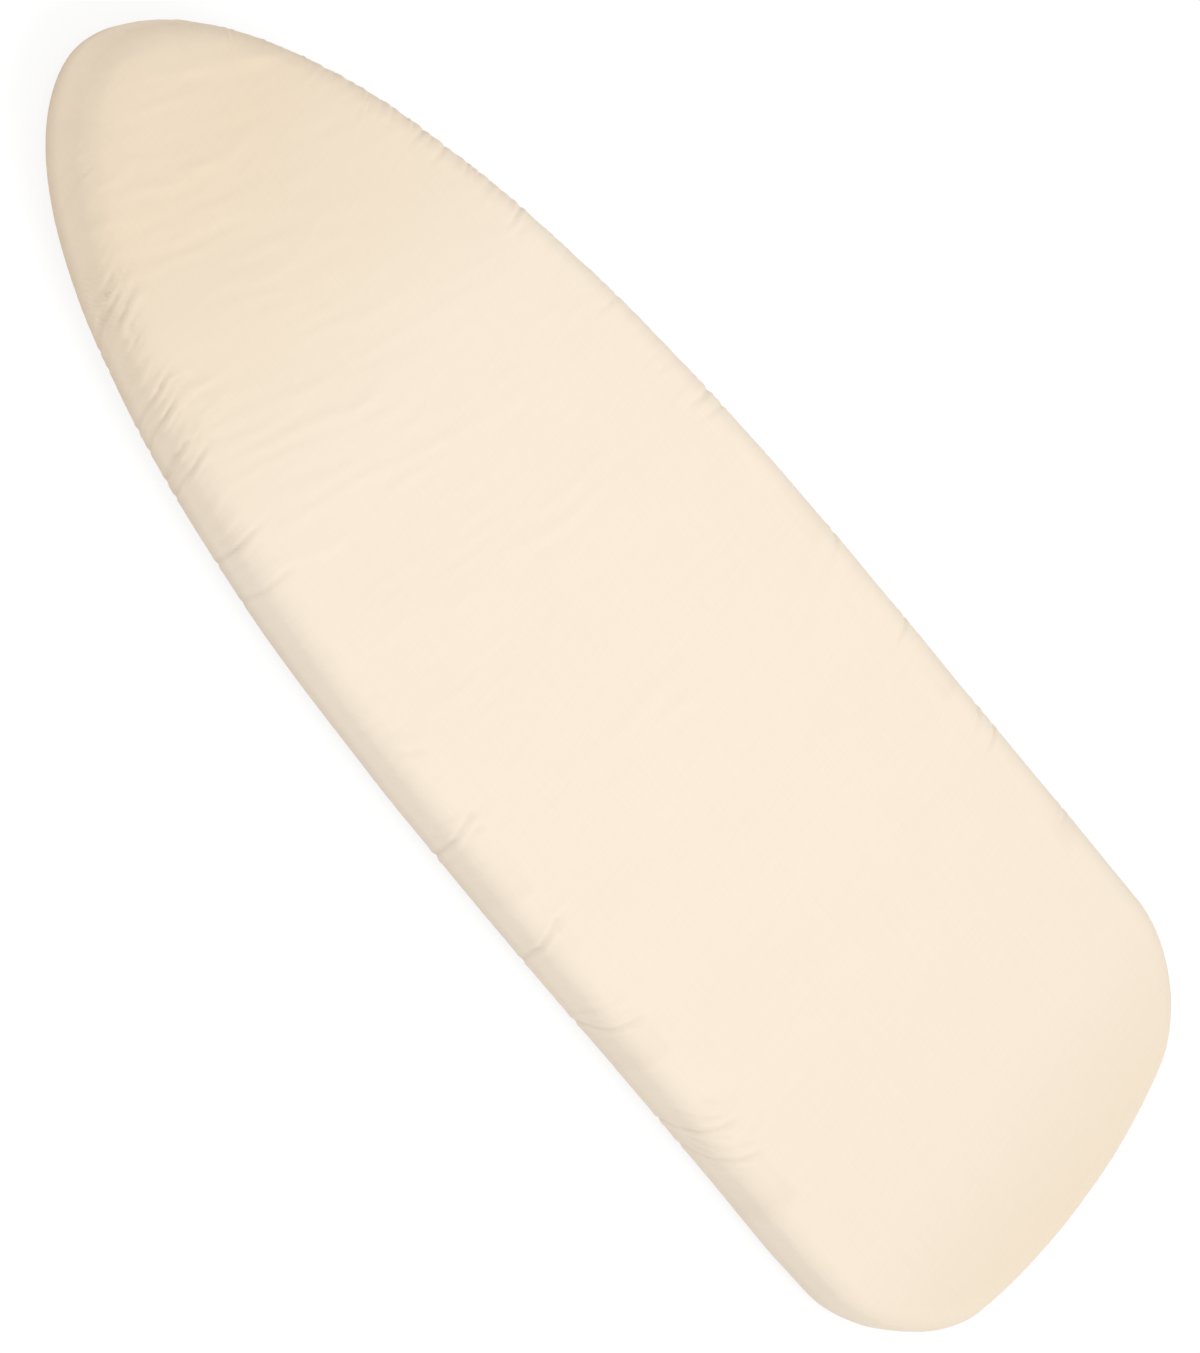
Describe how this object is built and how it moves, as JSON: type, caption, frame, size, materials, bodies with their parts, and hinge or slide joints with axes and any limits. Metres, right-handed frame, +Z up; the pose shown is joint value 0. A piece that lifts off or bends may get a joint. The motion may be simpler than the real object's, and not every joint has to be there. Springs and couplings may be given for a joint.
{
  "type": "sleeve ironing board",
  "caption": "Small padded ironing board with a round nose and a square tail, cloth cover gathered under a pressed steel top, and two folding tube legs.",
  "frame": {"origin": "centre of the bounding box at the table, with the legs folded and the board lying on them", "axes": "+X along the board from the square tail to the round nose, +Y to its left, +Z up out of the ironing surface"},
  "size_m": [0.56, 0.19, 0.029],
  "materials": {
    "cover_cloth": "natural undyed cotton twill, matte",
    "pad_felt": "pressed fibre felt",
    "elastic": "woven elastic tape",
    "top_steel": "galvanised sheet",
    "rail_steel": "galvanised sheet",
    "bracket_steel": "zinc plated",
    "pin_steel": "zinc plated",
    "leg_paint": "white powder coat",
    "foot_rubber": "matte moulded rubber",
    "clip_plastic": "moulded nylon"
  },
  "bodies": {
    "board": {"cover": "cover_cloth", "pad": "pad_felt", "hem_elastic": "elastic", "top_panel": "top_steel", "rear_cross_rail": "rail_steel", "front_cross_rail": "rail_steel", "nose_stiffener": "rail_steel", "tail_stiffener": "rail_steel", "rear_left_bracket": "bracket_steel", "rear_left_pin": "pin_steel", "rear_right_bracket": "bracket_steel", "rear_right_pin": "pin_steel", "front_left_bracket": "bracket_steel", "front_left_pin": "pin_steel", "front_right_bracket": "bracket_steel", "front_right_pin": "pin_steel", "leg_clip": "clip_plastic", "rear_left_rivet_outer": "pin_steel", "rear_left_rivet_inner": "pin_steel", "rear_right_rivet_outer": "pin_steel", "rear_right_rivet_inner": "pin_steel", "front_left_rivet_outer": "pin_steel", "front_left_rivet_inner": "pin_steel", "front_right_rivet_outer": "pin_steel", "front_right_rivet_inner": "pin_steel", "clip_rivet": "pin_steel"},
    "rear_leg": {"rear_leg_tube": "leg_paint", "rear_leg_brace": "leg_paint", "rear_left_foot": "foot_rubber", "rear_right_foot": "foot_rubber"},
    "front_leg": {"front_leg_tube": "leg_paint", "front_leg_brace": "leg_paint", "front_left_foot": "foot_rubber", "front_right_foot": "foot_rubber"}
  },
  "joints": [
    {"name": "rear_leg_hinge", "type": "hinge", "parent": "board", "child": "rear_leg", "pos_m": [-0.22, 0, 0.008], "axis": [0, 1, 0], "range_deg": [0, 102]},
    {"name": "front_leg_hinge", "type": "hinge", "parent": "board", "child": "front_leg", "pos_m": [0.1008, 0, 0.008], "axis": [0, -1, 0], "range_deg": [0, 102]}
  ]
}
